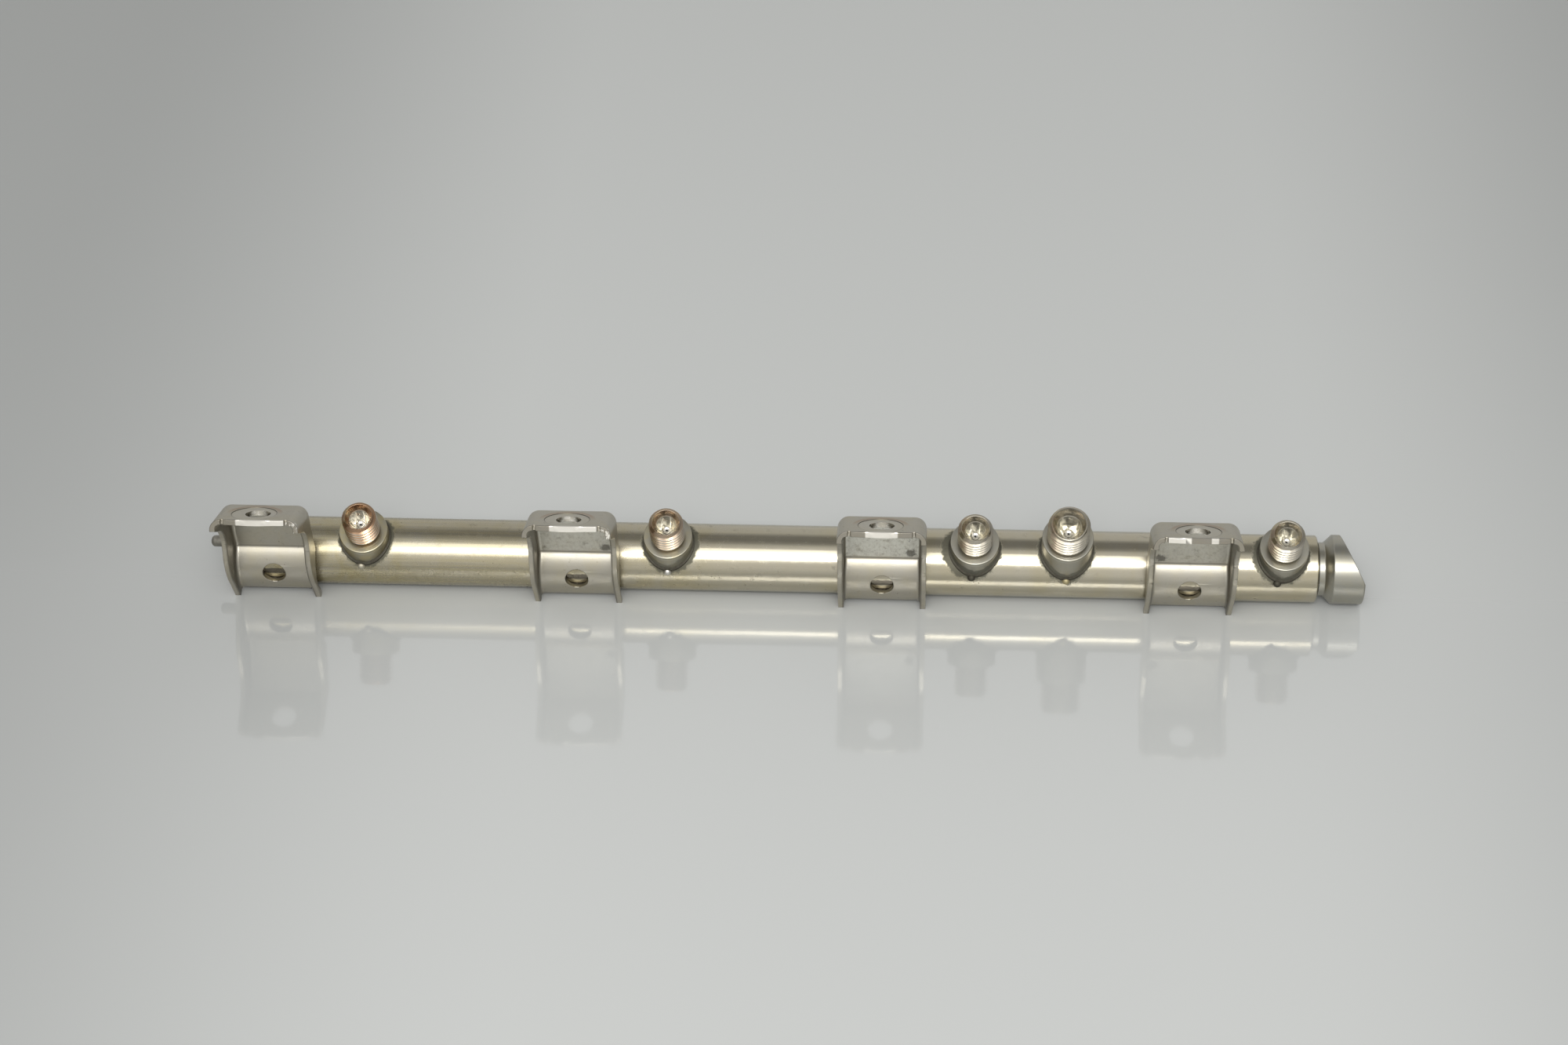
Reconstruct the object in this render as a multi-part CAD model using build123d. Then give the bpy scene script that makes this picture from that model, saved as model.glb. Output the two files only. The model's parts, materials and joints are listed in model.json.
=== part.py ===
from build123d import *
import os
from math import cos, sin, radians, sqrt

# Driving dimensions, in millimetres and degrees.
# Axis frame: X runs along the tube, Y points away from the bolt plates, Z is up.
pitch = 88.0                # spacing of the injector nipples, and of the brackets
port_count = 4
inlet_from_port = 26.3      # inlet nipple, to the right of the third injector nipple
bracket_from_port = -26.4   # bracket centre, to the left of its injector nipple

tube_od = 19.4
tube_bore = 11.0
tube_past_port = 10.2       # right end of the tube, past the last nipple
tube_past_bracket = 12.0    # left end of the tube, past the centre of the first bracket
tube_chamfer = 0.3

nipple_tilt = 60.5          # nipple axes, above the horizontal, towards the bolt plates
passage_d = 3.0             # drilling from the bore of the tube into each nipple
orifice_d = 1.0
seat_angle = 60.0           # included angle of the cone seat
# collar diameter, collar top, thread diameter, thread end, rim, seat mouth diameter
# (heights are measured from the tube's axis)
injector_nipple = dict(collar_d=14.0, collar_h=14.0, thread_d=10.0, rim_h=23.4, seat_d=7.8)
inlet_nipple = dict(collar_d=14.6, collar_h=18.4, thread_d=12.0, rim_h=27.6, seat_d=9.4)
thread_relief = 0.6         # length of the groove between collar and thread
relief_depth = 0.7
nipple_chamfer = 1.05

sheet = 1.6                 # thickness of the bracket sheet
bracket_width = 25.2
web_lean = 13.5             # upper web, from the vertical, towards the bolt plate
web_offset = 6.65           # front face of the upper web, from the tube's axis
web_end = -48.0             # where the web stops round the tube, from the horizontal
web_hole_d = 6.6
web_hole_at = -3.5
plate_tilt = 19.5
plate_height = 18.96        # top of the plate, from the tube's axis, square to the plate
hole_reach = 28.64          # bolt hole, from the tube's axis, along the plate
bolt_hole_d = 7.1
ring_d = 12.8               # mark pressed by the bolt's flange
ring_depth = 0.12
ring_shift = [-1.1, -0.45, -0.35, 0.25]  # mark, along the tube from each bolt hole
lip_reach = 7.3             # lip, past the bolt hole
lip_width = 17.3
lip_bow = 0.5
lip_dent = (-2.2, 3.2)      # step in the fourth bracket's lip, from the middle of the lip
dent_depth = 0.3
ear_setback = 0.6           # ears stop this much short of the lip
notch = 0.8
plate_bend = 2.3            # inner radius between plate and web
crease_bend = 1.45          # inner radius between upper web and tube wrap
draw_radius = 3.3           # outer radius from plate and web into the flanges
draw_inner = 1.2
foot_width = 1.2
foot_splay = 0.7            # how far a foot leans out, against its drop
# lower edge of each ear: distance past the bolt hole, depth below the plate's top
ear_edge = [(4.6, 4.3), (1.8, 5.0), (-2.2, 6.1), (-5.4, 8.5), (-7.9, 12.5)]
# front edge of each flange: angle round the tube, reach past the web's front face
skirt_edge = [(26, 8.6), (14, 6.5), (1, 4.5), (-13, 2.8), (-29, 2.2)]

collar_step = 0.25          # end plug's collar, beyond the tube's surface
collar_len = 9.0
cone_len = 2.35
neck_d = 15.4
neck_len = 2.1
spigot_len = 9.0
slant_start = 1.65          # slanted cut: how far it meets the axis inside the end face
slant_y = -0.2415
slant_z = -0.4396
plug_chamfer = 0.35

closing_len = 9.0
pin_d = 3.3
pin_reach = 8.0
pin_depth = 4.0
pin_lift = 2.4
pin_round = 1.2             # rounding of the pin's free end

braze_leg = 0.55
nub_d = 2.3
nub_drop = 4.6              # nub centre, from the collar's lower edge, in degrees
nub_shift = [-1.0, -0.2, -0.8, -1.5]
inlet_nub_shift = 0.0
seam_leg = 2.2              # seam, outwards from where the bracket leaves the tube
seam_inset = 0.1            # seam, behind the front face of the sheet

# Derived values.
tube_r = tube_od / 2
collar_d = tube_od + 2 * collar_step
axis_height = collar_d / 2  # the rail rests on the plug's collar and on the bracket feet
port_x = [pitch * (i - (port_count - 1) / 2) for i in range(port_count)]
inlet_x = port_x[2] + inlet_from_port
bracket_x = [x + bracket_from_port for x in port_x]
tube_left = bracket_x[0] - tube_past_bracket
tube_right = port_x[-1] + tube_past_port
plug_right = tube_right + neck_len + cone_len + collar_len
pin_left = tube_left - pin_reach


def turn(a):
    """Unit vector in the YZ plane, at angle a above the horizontal towards the plates."""
    return Vector(0, -cos(radians(a)), sin(radians(a)))


def x_cylinder(d, x0, x1):
    return Pos(X=(x0 + x1) / 2) * Rot(Y=90) * Cylinder(d / 2, x1 - x0)


plate_dir = turn(plate_tilt)
plate_up = turn(plate_tilt + 90)
web_up = turn(90 - web_lean)
web_front = turn(-web_lean)


def on_plate(along, height):
    return plate_dir * along + plate_up * height


def yz(v):
    return (v.Y, v.Z)


def chain(offset, bend_plate, bend_crease, along, last):
    """Section of the sheet's face that lies offset in front of the tube's surface."""
    ring = tube_r + offset
    face = web_offset - sheet + offset
    top = plate_height - sheet + (sheet - offset)
    reach = face + bend_plate
    height = (top - bend_plate - plate_up.dot(web_front) * reach) / plate_up.dot(web_up)
    c1 = web_front * reach + web_up * height
    low = face + bend_crease
    c2 = web_front * low + web_up * sqrt((ring + bend_crease) ** 2 - low ** 2)
    out2 = c2 * (-1 / c2.length)
    meet = c2 + out2 * bend_crease
    angle = plate_dir_angle(meet)
    edges = [Line(yz(on_plate(along, top)), yz(c1 + plate_up * bend_plate))]
    edges.append(arc(c1, plate_up, web_front * -1, bend_plate))
    edges.append(Line(edges[-1] @ 1, yz(c2 - web_front * bend_crease)))
    edges.append(arc(c2, web_front * -1, out2, bend_crease))
    mid = turn((angle + last) / 2) * ring
    edges.append(ThreePointArc(edges[-1] @ 1, yz(mid), yz(turn(last) * ring)))
    return edges


def plate_dir_angle(v):
    """Angle of v above the horizontal, towards the plates."""
    return Vector(0, -1, 0).get_angle(v)


def arc(centre, start, end, radius):
    middle = (start + end).normalized()
    points = [centre + d * radius for d in (start, middle, end)]
    return ThreePointArc(*[yz(p) for p in points])


def closed_solid(edges, width):
    """Solid with the section that the edges bound, centred on X = 0."""
    flat = Plane.YZ * make_face(edges)
    return extrude(flat, width / 2, both=True)


def side_edges(solid, half_width, path):
    """Edges of the solid that run along the path on both side faces."""
    marks = [Vector(0, e.position_at(0.5).X, e.position_at(0.5).Y) for e in path]
    found = []
    for edge in solid.edges():
        mid = edge.position_at(0.5)
        if abs(abs(mid.X) - half_width) > 1e-4:
            continue
        if any((Vector(0, mid.Y, mid.Z) - m).length < 1e-3 for m in marks):
            found.append(edge)
    return found


def make_bracket():
    ear = hole_reach + lip_reach - ear_setback
    rear = chain(0.0, plate_bend + sheet, crease_bend + sheet + 0.75, ear, web_end - 4)
    ear_pts = [on_plate(hole_reach + a, plate_height - h) for a, h in ear_edge]
    skirt = [turn(a) * (tube_r + sheet + r) for a, r in skirt_edge]
    foot_back = turn(web_end) * (tube_r + sheet)
    foot_y = foot_back.Y - (axis_height + foot_back.Z) * foot_splay - foot_width
    foot = Vector(0, foot_y, -axis_height)
    edge_pts = [yz(p) for p in ear_pts + skirt + [foot]]
    ear_low = yz(on_plate(ear, plate_height - draw_radius - 0.4))
    outline = list(rear)
    outline.append(Line(rear[-1] @ 1, (foot_y + foot_width, -axis_height)))
    outline.append(Line((foot_y + foot_width, -axis_height), yz(foot)))
    outline.append(Spline(*edge_pts[::-1]))
    outline.append(Line(edge_pts[0], ear_low))
    outline.append(Line(ear_low, rear[0] @ 0))
    body = closed_solid(outline, bracket_width)
    body = fillet(side_edges(body, bracket_width / 2, rear), draw_radius)

    front = chain(sheet, plate_bend, crease_bend, 80, web_end)
    low = turn(web_end) * (tube_r - 1.5)
    hollow = list(front)
    hollow.append(Line(front[-1] @ 1, yz(low)))
    hollow.append(Polyline(yz(low), (low.Y, -60), (-90, -60), front[0] @ 0))
    inside = bracket_width - 2 * sheet
    cavity = closed_solid(hollow, inside)
    cavity = fillet(side_edges(cavity, inside / 2, front), draw_inner)
    body = body - cavity

    tilt = Plane(origin=on_plate(hole_reach, plate_height), x_dir=(1, 0, 0), z_dir=plate_up)
    half = lip_width / 2
    back = tilt.to_local_coords(on_plate(hole_reach, plate_height) + plate_dir).Y
    ends = [(-half, back * (lip_reach - lip_bow)), (half, back * (lip_reach - lip_bow))]
    lip = [ThreePointArc(ends[0], (0, back * lip_reach), ends[1])]
    lip.append(Polyline(ends[1], (half, back * 4), (-half, back * 4), ends[0]))
    body = body + tilt * extrude(make_face(lip), -sheet)
    for side in (-1, 1):
        slot = Box(notch, 2 * notch, 3 * sheet)
        spot = (side * (half + notch / 2), back * (lip_reach - ear_setback), 0)
        body = body - tilt * Pos(*spot) * slot
    body = body - tilt * Cylinder(bolt_hole_d / 2, 4 * sheet)
    web_axis = Plane(origin=turn(web_hole_at) * (tube_r + sheet), x_dir=(1, 0, 0),
                     z_dir=turn(web_hole_at))
    body = body - web_axis * Cylinder(web_hole_d / 2, 4 * sheet)
    return body


def mark_bracket(bracket, sideways):
    """The bracket with the mark that its bolt's flange pressed into the plate."""
    seat = Plane(origin=on_plate(hole_reach, plate_height), x_dir=(1, 0, 0), z_dir=plate_up)
    return bracket - seat * Pos(X=sideways) * Cylinder(ring_d / 2, 2 * ring_depth)


def on_axis(x):
    """Plane on the tube's axis at x, with Z along the nipple."""
    return Plane(origin=(x, 0, 0), x_dir=(1, 0, 0), z_dir=turn(nipple_tilt))


def tube_clear(x):
    return x_cylinder(tube_od, x - 20, x + 20)


def make_nipple(x, size):
    collar = size["collar_d"] / 2
    thread = size["thread_d"] / 2
    top = size["collar_h"]
    rim = size["rim_h"]
    mouth = size["seat_d"] / 2
    hole = orifice_d / 2
    throat = rim - (mouth - hole) / (sin(radians(seat_angle / 2)) / cos(radians(seat_angle / 2)))
    points = [
        (hole, throat),
        (mouth, rim),
        (thread - nipple_chamfer, rim),
        (thread, rim - nipple_chamfer),
        (thread, top + thread_relief),
        (thread - relief_depth, top + thread_relief),
        (thread - relief_depth, top),
        (collar - 0.4, top),
        (collar, top - 0.4),
        (collar, 0),
        (passage_d / 2, 0),
        (passage_d / 2, throat - 2.0),
        (hole, throat - 2.0),
    ]
    outline = Polyline(*[(r, 0, h) for r, h in points], close=True)
    solid = revolve(make_face(outline), Axis.Z)
    return on_axis(x) * solid - tube_clear(x)


def make_port_braze(x, size, sideways):
    collar = size["collar_d"] / 2
    ring = Cylinder(collar + braze_leg, 30, align=(Align.CENTER, Align.CENTER, Align.MIN))
    ring = on_axis(x) * (ring - Cylinder(collar, 80))
    shell = x_cylinder(tube_od + 2 * braze_leg, x - 20, x + 20)
    low = plate_dir_angle(turn(nipple_tilt) * sqrt(tube_r ** 2 - collar ** 2)
                          + turn(nipple_tilt - 90) * collar)
    nub = turn(low - nub_drop) * tube_r
    ball = Pos(x + sideways, nub.Y, nub.Z) * Sphere(nub_d / 2)
    ball = ball - on_axis(x) * Cylinder(collar, 80)
    return (ring & shell) + ball - tube_clear(x)


def make_seam(x, side, bracket):
    edge = bracket_width / 2 - draw_radius
    wide = draw_radius + 5
    outer = x_cylinder(tube_od + 2 * (sheet - seam_inset), 0, edge + seam_leg)
    band = outer - x_cylinder(tube_od, -1, 40)
    keep = Pos(edge + wide / 2, -25, 0) * Box(wide, 50, 60)
    sector = make_face(Polyline((0, 0), yz(turn(web_end + 3) * 30),
                                yz(turn(-8) * 34), yz(turn(28) * 30), close=True))
    sector = extrude(Plane.YZ * sector, 40)
    wedge = band & keep & sector
    if side < 0:
        wedge = mirror(wedge, Plane.YZ)
    return Pos(X=x) * (wedge - bracket)


def make_tube():
    solid = x_cylinder(tube_od, tube_left, tube_right)
    ends = solid.edges().filter_by(GeomType.CIRCLE)
    solid = chamfer(ends, tube_chamfer)
    solid = solid - x_cylinder(tube_bore, tube_left - 1, tube_right + 1)
    for x in port_x + [inlet_x]:
        drill = Cylinder(passage_d / 2, 20, align=(Align.CENTER, Align.CENTER, Align.MIN))
        solid = solid - on_axis(x) * drill
    return solid


def make_end_plug():
    neck = tube_right + neck_len
    cone = neck + cone_len
    r = collar_d / 2
    points = [
        (tube_right - spigot_len, 0),
        (tube_right - spigot_len, tube_bore / 2),
        (tube_right, tube_bore / 2),
        (tube_right, neck_d / 2),
        (neck, neck_d / 2),
        (cone, r),
        (plug_right - plug_chamfer, r),
        (plug_right, r - plug_chamfer),
        (plug_right, 0),
    ]
    outline = Polyline(*[(x, 0, z) for x, z in points], close=True)
    solid = revolve(make_face(outline), Axis.X)
    normal = Vector(1, -slant_y, -slant_z)
    cut = Plane(origin=(plug_right - slant_start, 0, 0), z_dir=normal)
    block = Box(80, 80, 40, align=(Align.CENTER, Align.CENTER, Align.MIN))
    return solid - cut * block


def make_ring(x, inner, leg, side):
    """Braze ring with a triangular section, in the corner at x round a shaft."""
    points = [(x, inner), (x + side * leg, inner), (x, inner + leg)]
    outline = Polyline(*[(a, 0, b) for a, b in points], close=True)
    return revolve(make_face(outline), Axis.X)


def make_closing_plug():
    solid = x_cylinder(tube_bore, tube_left, tube_left + closing_len)
    solid = solid + x_cylinder(tube_bore - 2, tube_left - 0.6, tube_left + 1)
    return solid - Pos(Z=pin_lift) * x_cylinder(pin_d, tube_left - 5, tube_left + pin_depth)


def make_pin():
    pin = x_cylinder(pin_d, pin_left, tube_left + pin_depth)
    pin = fillet(pin.edges().filter_by(GeomType.CIRCLE).sort_by(Axis.X)[0], pin_round)
    return Pos(Z=pin_lift) * pin


def dented(bracket):
    """The bracket with a short step in the edge of its lip."""
    seat = Plane(origin=on_plate(hole_reach, plate_height), x_dir=(1, 0, 0), z_dir=plate_up)
    ahead = seat.to_local_coords(on_plate(hole_reach + lip_reach, plate_height)).Y
    step = Box(lip_dent[1] - lip_dent[0], 2 * dent_depth, 3 * sheet)
    return bracket - seat * Pos((lip_dent[0] + lip_dent[1]) / 2, ahead, 0) * step


parts = {}
parts["rail_tube"] = make_tube()
parts["end_plug"] = make_end_plug()
parts["closing_plug"] = make_closing_plug()
parts["locating_pin"] = make_pin()
bracket = make_bracket()
for i in range(port_count):
    number = i + 1
    marked = mark_bracket(bracket, ring_shift[i])
    parts[f"bracket_{number}"] = Pos(X=bracket_x[i]) * marked
    parts[f"injector_port_{number}"] = make_nipple(port_x[i], injector_nipple)
    parts[f"port_braze_{number}"] = make_port_braze(port_x[i], injector_nipple, nub_shift[i])
    parts[f"bracket_braze_{number}_left"] = make_seam(bracket_x[i], -1, bracket)
    parts[f"bracket_braze_{number}_right"] = make_seam(bracket_x[i], 1, bracket)
parts["bracket_4"] = Pos(X=bracket_x[3]) * dented(mark_bracket(bracket, ring_shift[3]))
parts["inlet_port"] = make_nipple(inlet_x, inlet_nipple)
parts["inlet_braze"] = make_port_braze(inlet_x, inlet_nipple, inlet_nub_shift)
parts["end_plug_braze"] = make_ring(tube_right, neck_d / 2, braze_leg, 1)
parts["closing_plug_braze"] = make_ring(tube_left, tube_bore / 2 - 1, braze_leg, -1)

# Row frame: the middle of the footprint, at the height of the surface it rests on.
lip_low = on_plate(hole_reach + lip_reach, plate_height - sheet)
shift = Pos(-(pin_left + plug_right) / 2, -(lip_low.Y + collar_d / 2) / 2, axis_height)

os.makedirs("parts", exist_ok=True)
for name, solid in parts.items():
    solid = shift * solid
    export_step(solid, f"parts/{name}.step")
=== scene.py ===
import functools
import json
import math

import bmesh
import bpy
from mathutils import Matrix, Vector


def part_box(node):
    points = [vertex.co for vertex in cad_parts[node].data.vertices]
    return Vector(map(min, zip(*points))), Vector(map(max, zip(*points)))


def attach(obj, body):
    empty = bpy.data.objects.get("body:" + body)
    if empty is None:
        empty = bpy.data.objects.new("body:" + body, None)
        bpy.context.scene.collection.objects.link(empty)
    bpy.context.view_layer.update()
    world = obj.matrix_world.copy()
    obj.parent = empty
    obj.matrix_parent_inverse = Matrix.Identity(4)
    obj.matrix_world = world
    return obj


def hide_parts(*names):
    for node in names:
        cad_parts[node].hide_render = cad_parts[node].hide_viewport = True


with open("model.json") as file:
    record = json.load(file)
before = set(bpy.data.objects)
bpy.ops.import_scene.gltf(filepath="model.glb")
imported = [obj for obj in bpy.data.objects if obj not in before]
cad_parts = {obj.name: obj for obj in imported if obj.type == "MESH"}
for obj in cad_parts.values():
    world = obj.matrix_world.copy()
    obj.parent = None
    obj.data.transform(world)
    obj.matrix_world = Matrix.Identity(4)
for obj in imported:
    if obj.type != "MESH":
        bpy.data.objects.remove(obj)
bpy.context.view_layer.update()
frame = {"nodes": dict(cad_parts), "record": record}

bl_info = {
    "name": "Fuel rail",
    "version": (1, 0, 0),
    "blender": (4, 5, 0),
    "location": "View3D > Sidebar > Fuel rail",
    "description": "Dresses a brazed fuel rail: tube, stamped brackets, threaded nipples "
                   "and end plug",
    "category": "Object",
}

MM = 0.001
TO_MM = 1000.0  # the shaders measure in millimetres
MOUNTS = {m["name"]: m for m in frame["record"]["mounts"]}
PORTS = {f"injector_port_{n}": f"injector_thread_{n}" for n in range(1, 5)}
PORTS["inlet_port"] = "inlet_thread"
BRACKETS = {f"bracket_{n}": f"bracket_bolt_{n}" for n in range(1, 5)}
tube_low, tube_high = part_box("rail_tube")
TUBE_RADIUS = (tube_high.z - tube_low.z) / 2
PREVIEW_COLOUR = (0.5, 0.48, 0.42, 1.0)  # in the viewport's solid shading


# ---------------------------------------------------------------- shader maths

class Wire:
    """A node's output that Python's operators work on, adding Math nodes."""

    def __init__(self, shade, socket):
        self.shade = shade
        self.socket = socket

    def math(self, operation, *others):
        values = [self, *others]
        return self.shade.node("ShaderNodeMath", {"operation": operation}, dict(enumerate(values)))

    def __add__(self, other):
        return self.math("ADD", other)

    def __sub__(self, other):
        return self.math("SUBTRACT", other)

    def __rsub__(self, other):
        return self.shade.node("ShaderNodeMath", {"operation": "SUBTRACT"}, {0: other, 1: self})

    def __mul__(self, other):
        return self.math("MULTIPLY", other)

    def __pow__(self, other):
        return self.math("POWER", other)

    def __abs__(self):
        return self.math("ABSOLUTE")

    def __neg__(self):
        return self.math("MULTIPLY", -1.0)

    __radd__ = __add__
    __rmul__ = __mul__

    def largest(self, other):
        return self.math("MAXIMUM", other)

    def rise(self, start, end, low=0.0, high=1.0):
        """Goes smoothly from low to high as the value goes from start to end."""
        settings = {"interpolation_type": "SMOOTHSTEP", "clamp": True}
        inputs = {0: self, 1: start, 2: end, 3: low, 4: high}
        return self.shade.node("ShaderNodeMapRange", settings, inputs)

    def bump_at(self, centre, half_width, soft):
        """1 within half_width of centre, falling to 0 over soft."""
        return 1.0 - abs(self - centre).rise(half_width, half_width + soft)


class Shade:
    """Builds one node tree."""

    def __init__(self, tree):
        self.tree = tree
        tree.nodes.clear()

    def node(self, kind, settings=None, inputs=None, out=0):
        """Adds a node and gives the named output, or the node itself where it has none."""
        made = self.tree.nodes.new(kind)
        for name, value in (settings or {}).items():
            setattr(made, name, value)
        for key, value in (inputs or {}).items():
            if isinstance(value, Wire):
                self.tree.links.new(value.socket, made.inputs[key])
            else:
                made.inputs[key].default_value = value
        return Wire(self, made.outputs[out]) if made.outputs else made

    def millimetres(self):
        """The place on the object, in millimetres."""
        place = self.node("ShaderNodeTexCoord", out="Object")
        return self.scaled(place, (TO_MM, TO_MM, TO_MM))

    def joined(self, x, y=0.0, z=0.0):
        """A vector from its parts."""
        return self.node("ShaderNodeCombineXYZ", None, {0: x, 1: y, 2: z})

    def scaled(self, vector, factors):
        return self.node("ShaderNodeVectorMath", {"operation": "MULTIPLY"}, {0: vector, 1: factors})

    def moved(self, vector, offset):
        return self.node("ShaderNodeVectorMath", {"operation": "ADD"}, {0: vector, 1: offset})

    def axis(self, vector, which):
        return self.node("ShaderNodeSeparateXYZ", None, {0: vector}, out=which)

    def dot(self, vector, other):
        inputs = {0: vector, 1: other}
        return self.node("ShaderNodeVectorMath", {"operation": "DOT_PRODUCT"}, inputs, out="Value")

    def distance(self, vector, point):
        inputs = {0: vector, 1: point}
        return self.node("ShaderNodeVectorMath", {"operation": "DISTANCE"}, inputs, out="Value")

    def noise(self, vector, scale, detail=3.0, roughness=0.55, twist=0.0):
        inputs = {"Vector": vector, "Scale": scale, "Detail": detail, "Roughness": roughness,
                  "Distortion": twist}
        return self.node("ShaderNodeTexNoise", None, inputs)

    def cells(self, vector, scale):
        inputs = {"Vector": vector, "Scale": scale}
        return self.node("ShaderNodeTexVoronoi", None, inputs, out="Distance")

    def blend(self, factor, first, second):
        """Goes from the first colour to the second as the factor goes from 0 to 1."""
        first, second = (c if isinstance(c, Wire) else (*c, 1.0) for c in (first, second))
        settings = {"data_type": "RGBA", "clamp_factor": True}
        return self.node("ShaderNodeMix", settings, {0: factor, 6: first, 7: second}, out=2)

    def bump(self, height, distance, strength, normal=None):
        inputs = {"Height": height, "Distance": distance, "Strength": strength}
        if normal is not None:
            inputs["Normal"] = normal
        return self.node("ShaderNodeBump", None, inputs)


def made_material(name, paint):
    """A material whose paint function gives colour, roughness, metallic, normal and coat."""
    material = bpy.data.materials.new(name)
    material.use_nodes = True
    shade = Shade(material.node_tree)
    colour, roughness, metallic, normal, *coat = paint(shade)
    inputs = {"Base Color": colour, "Roughness": roughness, "Metallic": metallic}
    if normal is not None:
        inputs["Normal"] = normal
    if coat:
        inputs["Coat Weight"] = coat[0]
    principled = shade.node("ShaderNodeBsdfPrincipled", None, inputs)
    shade.node("ShaderNodeOutputMaterial", None, {"Surface": principled})
    material.diffuse_color = PREVIEW_COLOUR
    return material


# ---------------------------------------------------------------- settings

def length(name, description, default):
    return bpy.props.FloatProperty(name=name, description=description, default=default,
                                   unit="LENGTH", precision=5)


def colour(name, description, default):
    return bpy.props.FloatVectorProperty(name=name, description=description, default=default,
                                         subtype="COLOR", size=3, min=0.0, max=1.0)


class RailNippleSizes(bpy.types.PropertyGroup):
    collar_radius: length("Collar radius", "Radius of the plain collar", 7.0 * MM)
    collar_top: length("Collar top", "Height of the collar's face above the tube's axis", 14.0 * MM)
    rim: length("Rim", "Height of the rim above the tube's axis", 23.4 * MM)
    mouth_radius: length("Mouth radius", "Radius of the cone seat's mouth", 3.9 * MM)
    thread_pitch: length("Thread pitch", "Rise of the thread in one turn", 1.6 * MM)
    first_crest: length("First crest", "Height of the lowest crest at the front", 15.0 * MM)
    thread_depth: length("Thread depth", "Depth of the thread's groove", 0.84 * MM)
    chamfer: length("Chamfer", "Chamfer between thread and rim", 1.05 * MM)
    relief: length("Relief", "Length of the groove under the thread", 0.6 * MM)
    relief_depth: length("Relief depth", "Depth of the groove under the thread", 0.7 * MM)
    orifice_radius: length("Orifice radius", "Radius of the hole in the seat", 0.3 * MM)


class RailSheetSizes(bpy.types.PropertyGroup):
    edge_radius: length("Edge radius", "Rounding of the sheet's cut edges", 0.16 * MM)
    plug_edge_radius: length("Plug edge radius", "Rounding of the turned plug's edges", 0.15 * MM)


class RailColours(bpy.types.PropertyGroup):
    tube: colour("Tube", "Drawn stainless steel", (0.48, 0.445, 0.355))
    bracket: colour("Bracket", "Pressed sheet", (0.43, 0.405, 0.345))
    nipple: colour("Nipple", "Turned steel", (0.40, 0.385, 0.33))
    plug: colour("Plug", "Turned steel of the plug", (0.37, 0.36, 0.315))
    # This colour also paints shade: in the brackets' corners, bends and window rims, and the shadow
    # seen through the windows onto the tube.
    stain_and_shade: colour("Stain", "Dark stain from the furnace", (0.085, 0.075, 0.06))
    tint: colour("Heat tint", "Brown tint where the steel was hottest", (0.33, 0.205, 0.125))
    # The bright colour also paints a highlight line round the nipples' collars.
    bright: colour("Bright steel", "Burnished steel of seats and lips", (0.62, 0.60, 0.555))
    # This colour also paints glints in the bolt holes and on worn edges.
    burnished_and_glints: colour("Burnished edge", "Rubbed cut edges", (0.80, 0.77, 0.70))
    frost: colour("Frosted web", "Pale scale on the webs", (0.80, 0.79, 0.72))
    straw: colour("Straw tint", "Yellow tint next to the joints", (0.46, 0.40, 0.24))
    braze: colour("Braze", "Filler in the joints", (0.125, 0.123, 0.095))
    floor: colour("Floor", "Pale table", (0.50, 0.51, 0.50))


class RailStage(bpy.types.PropertyGroup):
    lens: bpy.props.FloatProperty(name="Lens", description="Focal length", default=73.23,
                                  unit="CAMERA")
    window_light: bpy.props.FloatProperty(name="Window light", description="Power of the main lamp",
                                          default=11.5, unit="POWER")
    room_light: bpy.props.FloatProperty(name="Room light", description="Strength of the world",
                                        default=1.0)


# ---------------------------------------------------------------- mesh helpers

def new_object(name, mesh):
    made = bpy.data.objects.new(name, mesh)
    bpy.context.scene.collection.objects.link(made)
    return made


def finished(piece, node_names):
    """Hides the CAD parts that the piece stands in for, and makes it move with the rail's one body.
    """
    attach(piece, "root")
    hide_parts(*node_names)


def set_material(piece, material):
    piece.data.materials.clear()
    piece.data.materials.append(material)


def applied(piece):
    """The piece's evaluated shape as a plain mesh, with its modifiers removed."""
    bpy.context.view_layer.update()
    depsgraph = bpy.context.evaluated_depsgraph_get()
    mesh = bpy.data.meshes.new_from_object(piece.evaluated_get(depsgraph))
    piece.modifiers.clear()
    old = piece.data
    piece.data = mesh
    bpy.data.meshes.remove(old)
    return piece


def nipple_base(node, s):
    """The foot of a nipple's axis, on the tube's axis, and the direction the nipple points."""
    mount = MOUNTS[PORTS[node]]
    up = Vector(mount["axis"]).normalized()
    thread_middle = (s.collar_top + s.relief + s.rim - s.chamfer) / 2
    return Vector(mount["pos_m"]) - up * thread_middle, up


def nipple_place(node, s):
    """Matrix from a nipple's own axes to the rail's frame."""
    base, up = nipple_base(node, s)
    side = Vector((1.0, 0.0, 0.0))
    turn = Matrix((side, up.cross(side), up)).transposed().to_4x4()
    return Matrix.Translation(base) @ turn


def port_sizes(node):
    """The sizes of the inlet, or those that the injectors' nipples share."""
    scene = bpy.context.scene
    return scene.rail_inlet if node == "inlet_port" else scene.rail_injector


FLAT_ANGLE = math.radians(0.6)  # faces that bend less than this are one face
SHEET_SHARP_ANGLE = math.radians(32)
TURNED_SHARP_ANGLE = math.radians(42)
WELD_DISTANCE = 1e-6


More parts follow.
